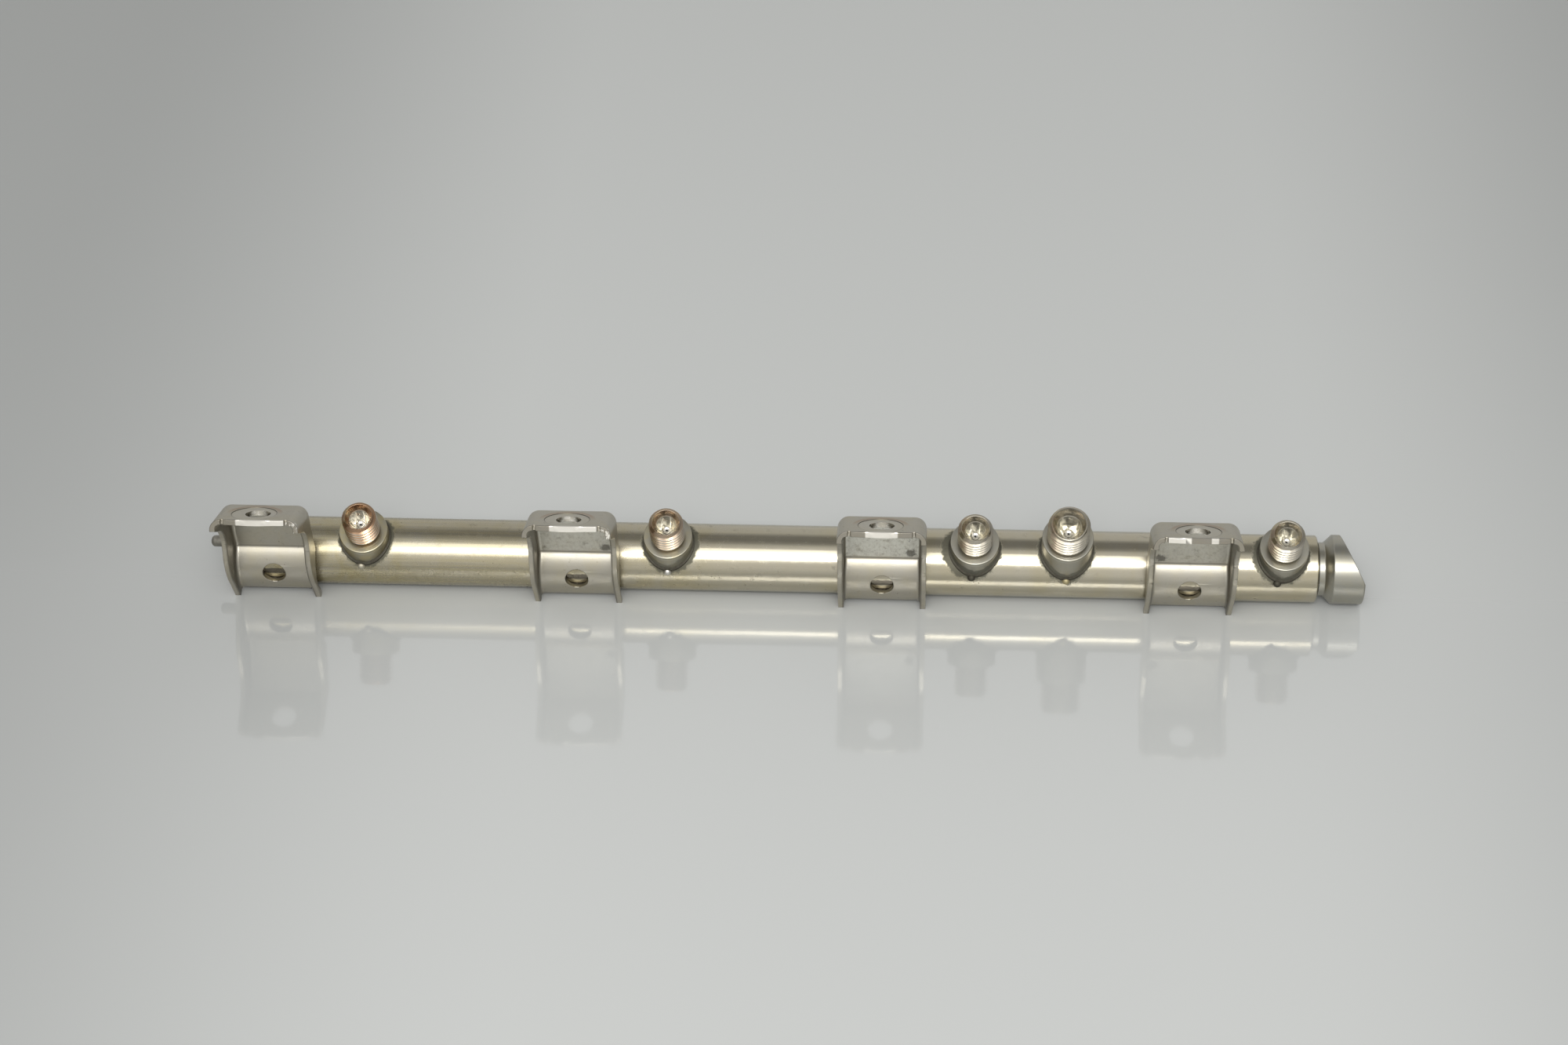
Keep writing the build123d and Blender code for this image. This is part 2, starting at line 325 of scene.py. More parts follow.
def rounded_copy(node, name, width, weight_of):
    """A copy of a CAD node with its sharp edges rounded by the weight that weight_of gives."""
    work = bmesh.new()
    work.from_mesh(frame["nodes"][node].data)
    bmesh.ops.remove_doubles(work, verts=work.verts, dist=WELD_DISTANCE)
    bmesh.ops.dissolve_limit(work, angle_limit=FLAT_ANGLE, verts=work.verts, edges=work.edges,
                             delimit={"NORMAL"})
    work.normal_update()
    weight = work.edges.layers.float.new("bevel_weight_edge")
    for edge in work.edges:
        sharp = len(edge.link_faces) == 2 and edge.calc_face_angle(0.0) > SHEET_SHARP_ANGLE
        edge.smooth = not sharp
        if sharp:
            edge[weight] = weight_of(edge.verts[0].co, edge.verts[1].co)
    mesh = bpy.data.meshes.new(name)
    work.to_mesh(mesh)
    work.free()
    mesh.shade_smooth()
    piece = new_object(name, mesh)
    bevel = piece.modifiers.new("rounding", "BEVEL")
    bevel.limit_method = "WEIGHT"
    bevel.width = width
    bevel.segments = 2
    bevel.use_clamp_overlap = False
    bevel.miter_outer = "MITER_ARC"
    normals = piece.modifiers.new("normals", "WEIGHTED_NORMAL")
    normals.keep_sharp = True
    return applied(piece)


# ---------------------------------------------------------------- threads

FRONT_TURN = 0.25  # share of a turn between the X axis and the front, where crests are counted
# The groove is GROOVE_REACH full depths deep at its root and GROOVE_FALL less at a crest, kept
# between 0 and 1, which leaves flats at both.
GROOVE_REACH = 1.48
GROOVE_FALL = 1.85
RUN_IN_SHARE = 0.25  # of the pitch, over which the thread starts
SMALLEST_RADIUS = 1e-6
THREAD_ROWS = 190
ROUNDING_STEPS = 4
CHAMFER_STEPS = 12
DISH_STEPS = 6
TURNED_SIDES = 128
SEAT_SLOPE = math.tan(math.radians(30))
SEAT_STEP = 0.74  # where the seat's inner ring ends, as a share of the mouth's radius
DISH_RADIUS = 1.08 * MM
DISH_EDGE_ANGLE, DISH_ANGLE_DROP = 38, 30  # degrees, at the rim and from rim to orifice
BORE_RADIUS = 1.5 * MM
BORE_DEPTH = 2.0 * MM


def thread_tree():
    """Geometry nodes that cut a helical thread into a turned blank standing on Z."""
    tree = bpy.data.node_groups.new("nipple_thread", "GeometryNodeTree")
    face = tree.interface
    face.new_socket("Geometry", in_out="INPUT", socket_type="NodeSocketGeometry")
    for name in ("Crest Radius", "Groove Depth", "Pitch", "First Crest", "Start", "Run In"):
        face.new_socket(name, in_out="INPUT", socket_type="NodeSocketFloat")
    face.new_socket("Material", in_out="INPUT", socket_type="NodeSocketMaterial")
    face.new_socket("Geometry", in_out="OUTPUT", socket_type="NodeSocketGeometry")
    nodes, links = tree.nodes, tree.links
    given = nodes.new("NodeGroupInput")

    def maths(operation, *values):
        made = nodes.new("ShaderNodeMath")
        made.operation = operation
        for i, value in enumerate(values):
            if isinstance(value, (int, float)):
                made.inputs[i].default_value = value
            else:
                links.new(value, made.inputs[i])
        return made.outputs[0]

    def kept_in_unit(value):
        return maths("MINIMUM", maths("MAXIMUM", value, 0.0), 1.0)

    place = nodes.new("GeometryNodeInputPosition")
    parts = nodes.new("ShaderNodeSeparateXYZ")
    links.new(place.outputs[0], parts.inputs[0])
    x, y, z = parts.outputs
    turn = maths("DIVIDE", maths("ARCTAN2", y, x), 2 * math.pi)
    risen = maths("SUBTRACT", z, given.outputs["Start"])
    turns = maths("DIVIDE", maths("SUBTRACT", z, given.outputs["First Crest"]),
                  given.outputs["Pitch"])
    phase = maths("FRACT", maths("SUBTRACT", maths("SUBTRACT", turns, turn), FRONT_TURN))
    ridge = maths("ABSOLUTE", maths("SUBTRACT", maths("MULTIPLY", phase, 2.0), 1.0))
    groove = kept_in_unit(maths("SUBTRACT", GROOVE_REACH, maths("MULTIPLY", ridge, GROOVE_FALL)))
    fade = kept_in_unit(maths("DIVIDE", risen, given.outputs["Run In"]))
    cut = maths("MULTIPLY", maths("MULTIPLY", groove, fade), given.outputs["Groove Depth"])
    wanted = maths("SUBTRACT", given.outputs["Crest Radius"], cut)
    squares = maths("ADD", maths("MULTIPLY", x, x), maths("MULTIPLY", y, y))
    radius = maths("MAXIMUM", maths("SQRT", squares), SMALLEST_RADIUS)
    factor = maths("DIVIDE", maths("MINIMUM", radius, wanted), radius)
    above = maths("GREATER_THAN", risen, 0.0)
    factor = maths("ADD", maths("MULTIPLY", factor, above), maths("SUBTRACT", 1.0, above))
    joined = nodes.new("ShaderNodeCombineXYZ")
    links.new(maths("MULTIPLY", x, factor), joined.inputs[0])
    links.new(maths("MULTIPLY", y, factor), joined.inputs[1])
    links.new(z, joined.inputs[2])
    put = nodes.new("GeometryNodeSetPosition")
    links.new(given.outputs["Geometry"], put.inputs["Geometry"])
    links.new(joined.outputs[0], put.inputs["Position"])
    real = nodes.new("GeometryNodeRealizeInstances")
    links.new(put.outputs[0], real.inputs[0])
    painted = nodes.new("GeometryNodeSetMaterial")
    links.new(real.outputs[0], painted.inputs["Geometry"])
    links.new(given.outputs["Material"], painted.inputs["Material"])
    result = nodes.new("NodeGroupOutput")
    links.new(painted.outputs[0], result.inputs[0])
    return tree


def nipple_outline(s, thread_radius):
    """Rows of (radius, height) round a nipple's section, from the collar's foot to the bore."""
    top = s.collar_top
    skirt, shoulder, rounding = 4.0 * MM, 1.0 * MM, 0.25 * MM
    rows = [(s.collar_radius, top - skirt), (s.collar_radius, top - shoulder)]
    for i in range(ROUNDING_STEPS + 1):
        a = math.pi / 2 * i / ROUNDING_STEPS
        rows.append((s.collar_radius - rounding * (1 - math.cos(a)),
                     top - rounding * (1 - math.sin(a))))

    neck = thread_radius - s.relief_depth
    start = top + s.relief
    ledge, fillet = 0.9 * MM, 0.15 * MM
    run_in, run_in_height, rows_start = 0.25 * MM, 0.3 * MM, 0.45 * MM
    rows += [(neck + ledge, top), (neck + fillet, top), (neck, top + fillet), (neck, start),
             (thread_radius - run_in, start + run_in_height)]
    low = start + rows_start
    high = s.rim - s.chamfer
    for i in range(THREAD_ROWS + 1):
        rows.append((thread_radius, low + (high - low) * i / THREAD_ROWS))
    for i in range(1, CHAMFER_STEPS):
        t = i / CHAMFER_STEPS
        rows.append((thread_radius - s.chamfer * t, high + s.chamfer * t))

    def on_cone(radius):
        return s.rim - (s.mouth_radius - radius) / SEAT_SLOPE

    def cone_row(radius, outward=0.0, drop=0.0):
        """The cone's point at a radius, moved outward and down by some millimetres."""
        return radius + outward * MM, on_cone(radius) - drop * MM

    lip = thread_radius - s.chamfer
    mouth = s.mouth_radius
    step = SEAT_STEP * mouth
    rows += [
        (lip + 0.08 * MM, s.rim - 0.05 * MM),
        (lip, s.rim),
        (mouth - 0.02 * MM, s.rim - 0.02 * MM),
        cone_row(mouth - 0.1 * MM),
        cone_row(step + 0.05 * MM),
        cone_row(step, 0.0, 0.03),
        cone_row(step, -0.02, 0.3),
        cone_row(step, -0.09, 0.42),
        cone_row(DISH_RADIUS, 0.06, 0.15),
        cone_row(DISH_RADIUS, 0.0, 0.2),
    ]
    height = rows[-1][1]
    across = DISH_RADIUS - s.orifice_radius
    for k in range(1, DISH_STEPS + 1):
        t = k / DISH_STEPS
        angle = math.radians(DISH_EDGE_ANGLE - DISH_ANGLE_DROP * t)
        height -= across / DISH_STEPS * math.tan(angle)
        rows.append((DISH_RADIUS - across * t, height))
    rows += [(s.orifice_radius, height - BORE_DEPTH), (BORE_RADIUS, height - BORE_DEPTH)]
    return rows


def nipple_mesh(name, s, thread_radius):
    """A closed turned blank on Z whose foot follows the tube it stands on."""
    rows = nipple_outline(s, thread_radius)
    turns = [2 * math.pi * k / TURNED_SIDES for k in range(TURNED_SIDES)]
    verts = [(radius * math.cos(a), radius * math.sin(a), height)
             for radius, height in rows for a in turns]
    for radius in (BORE_RADIUS, s.collar_radius):
        for a in turns:
            across = radius * math.sin(a)
            height = math.sqrt(TUBE_RADIUS ** 2 - across ** 2)
            verts.append((radius * math.cos(a), across, height))
    rings = len(rows) + 2
    faces = []
    for j in range(rings):
        this, above = j * TURNED_SIDES, (j + 1) % rings * TURNED_SIDES
        for k in range(TURNED_SIDES):
            n = (k + 1) % TURNED_SIDES
            faces.append((this + k, this + n, above + n, above + k))
    mesh = bpy.data.meshes.new(name)
    mesh.from_pydata(verts, [], faces)
    work = bmesh.new()
    work.from_mesh(mesh)
    bmesh.ops.recalc_face_normals(work, faces=work.faces)
    work.to_mesh(mesh)
    work.free()
    return mesh


def cut_thread(piece, tree, s, thread_radius, material):
    """Runs the thread's geometry nodes on a blank and keeps their result."""
    modifier = piece.modifiers.new("thread", "NODES")
    modifier.node_group = tree
    values = {
        "Crest Radius": thread_radius,
        "Groove Depth": s.thread_depth,
        "Pitch": s.thread_pitch,
        "Start": s.collar_top + s.relief,
        "First Crest": s.first_crest,
        "Run In": RUN_IN_SHARE * s.thread_pitch,
        "Material": material,
    }
    for item in tree.interface.items_tree:
        if item.in_out == "INPUT" and item.name in values:
            modifier[item.identifier] = values[item.name]
    return applied(piece)


# ---------------------------------------------------------------- finishes

WINDOW_HEIGHT = 9.33  # mm, middle of the round windows in the brackets' webs
WEB_NORMAL = (0.0, 0.973, 0.23)  # square to the upper web of every bracket
WEB_CREASE = 17.45  # mm, where a bracket's web bends back
FLANGE_RADIUS = 6.5  # mm, of the ring that a bolt's flange leaves on an ear
HOLE_RADIUS = 3.6  # mm, of the bolt hole in an ear, its wall rubbed bright and given painted glints
EAR_FRONT = 6.2  # mm, from an ear's bolt to its cut front edge
EAR_HALF_WIDTH = 8.6  # mm, of the rubbed part of that edge
WEB_HALF_WIDTH = 10.95  # mm, to the web's corners, which get painted shade
FOOT_REACH = 10.9  # mm, from the tube's axis to the edge of the filler's dark foot and painted shade on a nipple
FOOT_SPREAD = 2.2  # mm, how much higher the painted shade reaches on a nipple's two sides
LEFT_END = (-130.0, 60.0)  # mm, where the tube is most stained and where that has faded
FLOOR_LIT = (35.0, 90.0, 300.0)  # mm, the lit middle, its half width and where it is dimmest
FLOOR_DIMMING = 0.66
GLOSS_END = 22.0  # mm behind the rail's middle, where the floor's shine has faded

# How much brown tint a nipple has, how dark the filler and painted shade make its foot, and how
# far, in millimetres, the painted reflection of its dark edge on the tube is shifted along it.
NIPPLE_LOOKS = {
    "injector_port_1": {"tint": 0.95, "burn_and_shade": 0.15, "reflection_shift": 0.5},
    "injector_port_2": {"tint": 0.55, "burn_and_shade": 0.5, "reflection_shift": 0.9},
    "injector_port_3": {"tint": 0.12, "burn_and_shade": 0.75, "reflection_shift": -1.7},
    "injector_port_4": {"tint": 0.12, "burn_and_shade": 0.75, "reflection_shift": -0.9},
    "inlet_port": {"tint": 0.1, "burn_and_shade": 0.6, "reflection_shift": -0.2},
}

# Places along a bracket from its bolt, in millimetres: middle of the ring that the bolt's
# flange left, dark spot on the web, rubbed stretches of the lip and painted glints on the worn
# edge below it; a place past the bracket's end leaves the mark out. Then how frosted the web is.
BRACKET_LOOKS = {
    "bracket_1": {"ring": -1.1, "spot": -20.0, "lip": [(-4.8, 8.3)], "glint": 10.5, "frost": 0.1},
    "bracket_2": {"ring": -0.45, "spot": 8.5, "lip": [(-4.5, 8.4)], "glint": 10.5, "frost": 0.55},
    "bracket_3": {"ring": -0.35, "spot": 8.2, "lip": [(-4.3, 4.3)], "glint": 30.0, "frost": 1.0},
    "bracket_4": {"ring": 0.25, "spot": -8.6, "lip": [(-8.4, -2.4), (3.5, 5.1)], "glint": 30.0,
                  "frost": 0.45},
}

# The nipple that a drop of filler hangs from, and the colour that the drop has.
DROPS = {
    "port_braze_1": ("injector_port_1", "tube"),
    "port_braze_2": ("injector_port_2", "bright"),
    "inlet_braze": ("inlet_port", "straw"),
}


def strongest(masks):
    """The largest of some masks, place by place."""
    return functools.reduce(Wire.largest, masks)


def near_joints(x, centres, reach, soft):
    """1 within reach of any of the places along the tube, in millimetres."""
    return strongest([x.bump_at(centre, reach, soft) for centre in centres])


def around_nipple(shade, place, node, s):
    """Position from a nipple's foot, height along its axis and distance from it."""
    base, up = nipple_base(node, s)
    local = shade.moved(place, tuple(-base * TO_MM))
    height = shade.dot(local, tuple(up))
    radius = (shade.dot(local, local) - height * height).largest(0.0) ** 0.5
    return local, height, radius


def along_tube(mounts):
    """Where the mounts of some nodes are along the tube, in millimetres."""
    return [MOUNTS[mount]["pos_m"][0] * TO_MM for mount in mounts.values()]


def paint_tube(colours):
    """Drawn steel: streaks and pits, straw tint by the joints, burns round the nipples, each with a
    painted reflection of its nipple drawn out along the tube.
    """
    def burn_and_shade(shade, place, wavy):
        """The filler's dark edge on the tube round each nipple, and a copy shifted along the tube
        as a painted reflection of the nipple.
        """
        rings = []
        for node, look in NIPPLE_LOOKS.items():
            size = port_sizes(node)
            edge = size.collar_radius * TO_MM + 0.5
            # Unshifted, the ring is the filler's dark edge; shifted, it is a painted reflection of
            # the nipple.
            for shift in (0.0, look["reflection_shift"]):
                moved = shade.moved(place, (-shift, 0.0, 0.0))
                height, radius = around_nipple(shade, moved, node, size)[1:]
                ring = 1.0 - (radius + wavy).rise(edge, edge + 0.9)
                rings.append(ring * height.rise(2.0, 3.0))
        return strongest(rings)

    def window_shadow(x, y, z, wavy):
        """The dark gap and the shadow seen through the window of each bracket."""
        window = near_joints(x, along_tube(BRACKETS), 3.5, 0.2) * (1.0 - y.rise(0.0, 3.0))
        band = (z + wavy).bump_at(WINDOW_HEIGHT - 0.2, 0.7, 0.4)
        return window * band.largest(1.0 - z.bump_at(WINDOW_HEIGHT, 2.3, 0.4))

    def paint(shade):
        place = shade.millimetres()
        x, y, z = (shade.axis(place, i) for i in range(3))
        streaks = shade.noise(shade.scaled(place, (0.012, 1.0, 1.0)), 1.6, 4.0, 0.6)
        fine = shade.noise(shade.scaled(place, (0.05, 1.0, 1.0)), 9.0, 2.0, 0.6)
        cloud = shade.noise(place, 0.09, 4.0, 0.6, 0.6)
        patch = shade.noise(shade.moved(place, (40.0, 7.0, 3.0)), 0.45, 5.0, 0.68)
        few = shade.noise(place, 0.25, 2.0, 0.5).rise(0.58, 0.7)
        pits = (1.0 - shade.cells(place, 0.6).rise(0.05, 0.15)) * few
        warm = near_joints(x, along_tube(BRACKETS), 13.0, 9.0)
        warm = warm.largest(near_joints(x, along_tube(PORTS), 8.0, 7.0))
        left = 1.0 - x.rise(*LEFT_END)

        straw = (warm * 0.4 + left * 0.55) * cloud.rise(0.30, 0.66)
        straw = straw.largest(left * streaks.rise(0.46, 0.60) * 0.7)
        base = shade.blend(straw, colours.tube, colours.straw)
        worn = patch.rise(0.56, 0.78) * 0.35 + left * (streaks.rise(0.54, 0.40) * 0.12 + 0.12)
        base = shade.blend(worn, base, colours.stain_and_shade)
        base = shade.blend(pits * 0.7, base, colours.stain_and_shade)
        burnt_and_shaded = burn_and_shade(shade, place, shade.noise(place, 0.7, 5.0, 0.7) * 2.6 - 1.3)
        base = shade.blend(burnt_and_shaded * 0.85, base, colours.braze)
        shadow = window_shadow(x, y, z, (patch - 0.5) * 1.2)
        base = shade.blend(shadow * 0.9, base, colours.stain_and_shade)

        roughness = 0.15 + left * 0.07 + streaks * 0.1 + patch.rise(0.5, 0.75) * 0.1
        roughness = roughness + (pits + burnt_and_shaded * 1.6) * 0.3
        height = streaks * 0.5 + fine * 0.12 + patch * 0.22 - pits * 0.5
        return base, roughness, 1.0, shade.bump(height, 0.04 * MM, 0.35)
    return paint


def paint_bracket(colours, mount_name, look):
    """Pressed sheet: rubbed lip and bolt hole with painted glints, ring of the bolt's flange,
    painted shade in the corners, along the web's bend and round its window.
    """
    mount = MOUNTS[mount_name]
    up = Vector(mount["axis"]).normalized()
    up *= math.copysign(1.0, up.z)
    ahead = up.cross(Vector((1.0, 0.0, 0.0)))
    ahead *= -math.copysign(1.0, ahead.y)

    def paint(shade):
        place = shade.millimetres()
        z = shade.axis(place, 2)
        local = shade.moved(place, tuple(Vector(mount["pos_m"]) * -TO_MM))
        u = shade.axis(local, 0)
        rise = shade.dot(local, tuple(up))
        along = shade.dot(local, tuple(ahead))
        upright = shade.joined(u, z)
        grain = shade.noise(place, 3.2, 4.0, 0.62)
        cloud = shade.noise(place, 0.16, 4.0, 0.6, 0.4)
        blotch = shade.noise(shade.moved(place, (3.0, 21.0, 9.0)), 0.55, 5.0, 0.7)
        mottle = shade.noise(shade.scaled(place, (1.0, 1.0, 0.6)), 1.3, 5.0, 0.72)
        pits = 1.0 - shade.cells(place, 0.6).rise(0.05, 0.16)
        pits = pits * shade.noise(place, 0.3).rise(0.56, 0.66)

        # The ear: flange's ring, bolt hole and the lip in front.
        top = rise.rise(0.3, 0.5)
        bolt = (along * along + u * u) ** 0.5
        beside = u - look["ring"]
        ring = (along * along + beside * beside) ** 0.5
        line = (ring + grain * 0.3).bump_at(FLANGE_RADIUS, 0.06, 0.16) * top
        rubbed = (1.0 - ring.rise(FLANGE_RADIUS - 0.4, FLANGE_RADIUS - 0.1)) * top
        arc = ring.bump_at(FLANGE_RADIUS + 0.8, 0.3, 0.6) * (1.0 - along.rise(-4.0, 1.0)) * top
        hole = 1.0 - bolt.rise(HOLE_RADIUS, HOLE_RADIUS + 0.12)
        cut = along.rise(EAR_FRONT, EAR_FRONT + 0.4) * rise.rise(-7.0, -5.0)
        lip = cut * rise.rise(-1.4, -1.1)
        lip = lip * (1.0 - abs(u).rise(EAR_HALF_WIDTH, EAR_HALF_WIDTH + 0.3))
        lip = lip * strongest([u.bump_at((start + end) / 2, (end - start) / 2, 0.4)
                               for start, end in look["lip"]])
        # Painted glints on the worn corner edge below the lip.
        glint = mottle.rise(0.5, 0.56) * u.bump_at(look["glint"], 1.6, 0.4)
        glint = glint * along.rise(5.0, 5.6) * rise.bump_at(-2.2, 2.0, 0.5)

        # The web: frosted middle, dark spot; painted shade in corners, bend and window rim.
        inner = 1.0 - shade.dot(place, WEB_NORMAL).rise(4.6, 5.2)
        web = z.rise(WEB_CREASE + 0.15, WEB_CREASE + 0.75) * (1.0 - rise.rise(-2.8, -2.1))
        web = web * (1.0 - abs(u).rise(WEB_HALF_WIDTH - 0.75, WEB_HALF_WIDTH - 0.15)) * inner
        frost = web * (mottle - blotch.rise(0.45, 0.75) * 0.3).rise(0.05, 0.62) * look["frost"]
        spot = shade.distance(upright, (look["spot"], 19.4, 0.0))
        spot = (1.0 - (spot + (mottle - 0.5) * 3.0).rise(0.9, 2.0)) * web
        painted_corner_shade = abs(u).bump_at(WEB_HALF_WIDTH, 0.2, 0.5) * (1.0 - rise.rise(-3.0, -1.8)) * inner
        painted_crease_shade = z.bump_at(WEB_CREASE, 0.08, 0.3)
        painted_crease_shade = painted_crease_shade * (1.0 - abs(u).rise(WEB_HALF_WIDTH - 0.35, WEB_HALF_WIDTH + 0.05))
        # Painted shade on the upper wall of the window.
        rim = 1.0 - shade.distance(upright, (0.0, WINDOW_HEIGHT, 0.0)).rise(3.3, 3.42)
        rim = rim * z.rise(WINDOW_HEIGHT - 1.6, WINDOW_HEIGHT - 0.6)

        base = shade.blend(cloud.rise(0.35, 0.7) * 0.25, colours.bracket, colours.straw)
        base = shade.blend(blotch.rise(0.60, 0.80) * 0.5, base, colours.stain_and_shade)
        base = shade.blend(frost, base, colours.frost)
        dark = strongest([pits * 0.75, line * 0.55, painted_corner_shade * 0.6, spot * 0.7, painted_crease_shade * 0.5,
                          cut * 0.45, rim * 0.7])
        base = shade.blend(dark, base, colours.stain_and_shade)
        base = shade.blend(arc * 0.5, base, colours.tint)
        # Rubbed bright steel, with painted glints in the bolt hole and on the worn edge.
        burnish_and_glint_mask = strongest([lip * 0.85, hole * blotch.rise(0.4, 0.6, 0.15, 0.8), rubbed * 0.12,
                           glint * 0.9])
        base = shade.blend(burnish_and_glint_mask, base, colours.burnished_and_glints)
        roughness = 0.35 + grain * 0.1 + blotch.rise(0.5, 0.8) * 0.12 + frost * 0.15
        roughness = roughness - hole * 0.2
        height = grain * 0.5 + blotch * 0.5 + mottle * 0.5 - pits * 0.9
        return base, roughness, 1.0, shade.bump(height, 0.06 * MM, 0.5)
    return paint


def paint_nipple(colours, node, look, s):
    """Turned steel: brown with heat, bright on the seat and the crests, scorched dark at its foot,
    with painted shade on the foot's sides and the left side and a painted highlight on the collar.
    """
    tint, burn_and_shade = look["tint"], look["burn_and_shade"]
    mouth = s.mouth_radius * TO_MM
    collar_radius = s.collar_radius * TO_MM
    collar_top = s.collar_top * TO_MM
    rim = s.rim * TO_MM
    crest = MOUNTS[PORTS[node]]["dims"]["r_mm"]

    def paint(shade):
        place = shade.millimetres()
        local, height, radius = around_nipple(shade, place, node, s)
        x = shade.axis(local, 0)
        rings = shade.noise(shade.joined(radius, height), 5.0, 3.0, 0.6)
        cloud = shade.noise(place, 0.35, 4.0, 0.6)
        fine = shade.noise(place, 4.0, 3.0, 0.6)
        deep = height.rise(rim - 8.5, rim - 8.0)
        seat = (1.0 - radius.rise(0.73 * mouth, 0.76 * mouth)) * deep
        dish = (1.0 - radius.rise(1.0, 1.1)) * deep
        above = height.rise(collar_top + 0.1, collar_top + 0.8)
        threaded = above * radius.rise(crest - 1.2, crest - 1.0)
        threaded = threaded * (1.0 - height.rise(rim - 1.1, rim - 0.9))
        worn = threaded * radius.rise(crest - 0.2, crest - 0.04)

        gold = (1.0 - above) * (0.5 * max(0.0, tint - 0.4))
        base = shade.blend(cloud.rise(0.35, 0.7) * (0.12 + tint * 0.6) + gold, colours.nipple,
                           colours.straw)
        hot = above * (1.0 - seat) * (1.0 - worn * 0.7) * tint
        base = shade.blend(hot * cloud.rise(0.0, 0.45, 0.6, 1.0), base, colours.tint)
        # Painted shade together with heat tint: the left side is darker and its crests less bright.
        side = (-x).rise(0.2 * crest, 0.75 * crest) * above * (1.0 - seat)
        heat = shade.blend(cloud.rise(0.4, 0.6), colours.straw, colours.tint)
        base = shade.blend(side * 0.5, base, heat)
        # A painted highlight: a bright line round the collar, 1.3 mm below its face.
        edge = height.bump_at(collar_top - 1.3, 0.06, 0.12) * (1.0 - above)
        polished = strongest([seat * (0.25 + tint * 0.4), worn * 0.4 * (1.0 - side), dish,
                              edge * 0.8])
        base = shade.blend(polished, base, colours.bright)
        base = shade.blend(fine.rise(0.64, 0.8) * 0.3, base, colours.stain_and_shade)
        tube_distance = shade.distance(shade.scaled(local, (0.0, 1.0, 1.0)), (0.0, 0.0, 0.0))
        # Painted shade: the dark foot, from the filler, reaches higher on the collar's two sides.
        aside = abs(x) * (FOOT_SPREAD / collar_radius)
        reach = tube_distance - aside + (cloud - 0.5) * 3.0
        foot = 1.0 - reach.rise(FOOT_REACH, FOOT_REACH + 1.1)
        base = shade.blend(foot * burn_and_shade, base, colours.braze)

        roughness = 0.14 + rings * 0.06 + cloud * 0.06 + foot * 0.5 * burn_and_shade + (1.0 - above) * 0.1
        dents = shade.noise(local, 0.5, 0.0)
        relief = shade.bump(dents * (seat - dish), 1.0 * MM, 0.5)
        turned = (rings * 0.6 + fine * 0.05) * (1.0 - above)
        return base, roughness, 1.0, shade.bump(turned, 0.03 * MM, 0.4, relief)
    return paint


def paint_plug(colours):
    """Turned steel with rings round the tube's axis."""
    def paint(shade):
        place = shade.millimetres()
        rings = shade.noise(shade.joined(shade.axis(place, 0)), 4.5, 4.0, 0.7)
        cloud = shade.noise(place, 0.2, 4.0, 0.6, 0.4)
        fine = shade.noise(place, 2.6, 4.0, 0.65)
        base = shade.blend(cloud.rise(0.4, 0.75) * 0.25, colours.plug, colours.straw)
        base = shade.blend(fine.rise(0.62, 0.8) * 0.4, base, colours.stain_and_shade)
        roughness = 0.24 + rings * 0.1 + fine * 0.06
        return base, roughness, 1.0, shade.bump(rings * 0.4 + fine * 0.2, 0.03 * MM, 0.35)
    return paint


def paint_pin(colours):
    """Dull stained steel."""
    def paint(shade):
        place = shade.millimetres()
        cloud = shade.noise(place, 0.5, 4.0, 0.6)
        dark = cloud.rise(0.3, 0.7) * 0.4 + 0.3
        base = shade.blend(dark, colours.plug, colours.stain_and_shade)
        return base, 0.55 + cloud * 0.15, 0.9, shade.bump(cloud, 0.05 * MM, 0.4)
    return paint


def paint_braze(colours, node=None, drop=None):
    """Dull filler; the drop that hangs below a nipple's collar has a colour of its own."""
    def paint(shade):
        place = shade.millimetres()
        grain = shade.noise(place, 1.8, 4.0, 0.65)
        base = shade.blend(grain.rise(0.35, 0.7), colours.stain_and_shade, colours.braze)
        roughness = 0.6 + grain * 0.2
        if drop:
            size = port_sizes(node)
            edge = size.collar_radius * TO_MM
            hanging = around_nipple(shade, place, node, size)[2].rise(edge + 0.6, edge + 0.75)
            base = shade.blend(hanging, base, getattr(colours, drop))
            roughness = roughness - hanging * (0.35 if drop == "bright" else 0.1)
        return base, roughness, 1.0, shade.bump(grain, 0.1 * MM, 0.7)
    return paint


def paint_floor(colours):
    """A pale table, darker to the sides, that shines only in front of the rail."""
    def paint(shade):
        place = shade.millimetres()
        cloud = shade.noise(place, 0.004, 3.0, 0.5)
        middle, half_width, dimmest = FLOOR_LIT
        # Painted light: darker to the sides of the lit middle, and a little lighter behind the
        # rail.
        aside = abs(shade.axis(place, 0) - middle).rise(half_width, dimmest)
        dim = [c * FLOOR_DIMMING for c in colours.floor]
        polished = 1.0 - shade.axis(place, 1).rise(0.0, GLOSS_END)
        base = shade.blend(aside + cloud * 0.08 - 0.1 * (1.0 - polished), colours.floor, dim)
        return base, 0.6 - polished * 0.51, 0.0, None, polished * 0.65
    return paint


def material_for(name, paint):
    """The material of that name, made when it is first asked for."""
    return bpy.data.materials.get(name) or made_material(name, paint)


# ---------------------------------------------------------------- operators

class RailTube(bpy.types.Operator):
    """Gives the tube its drawn and lightly stained finish"""
    bl_idname = "fuel_rail.tube"
    bl_label = "Tube"

    def execute(self, context):
        colours = context.scene.rail_colours
        set_material(frame["nodes"]["rail_tube"], material_for("drawn_steel", paint_tube(colours)))
        return {"FINISHED"}


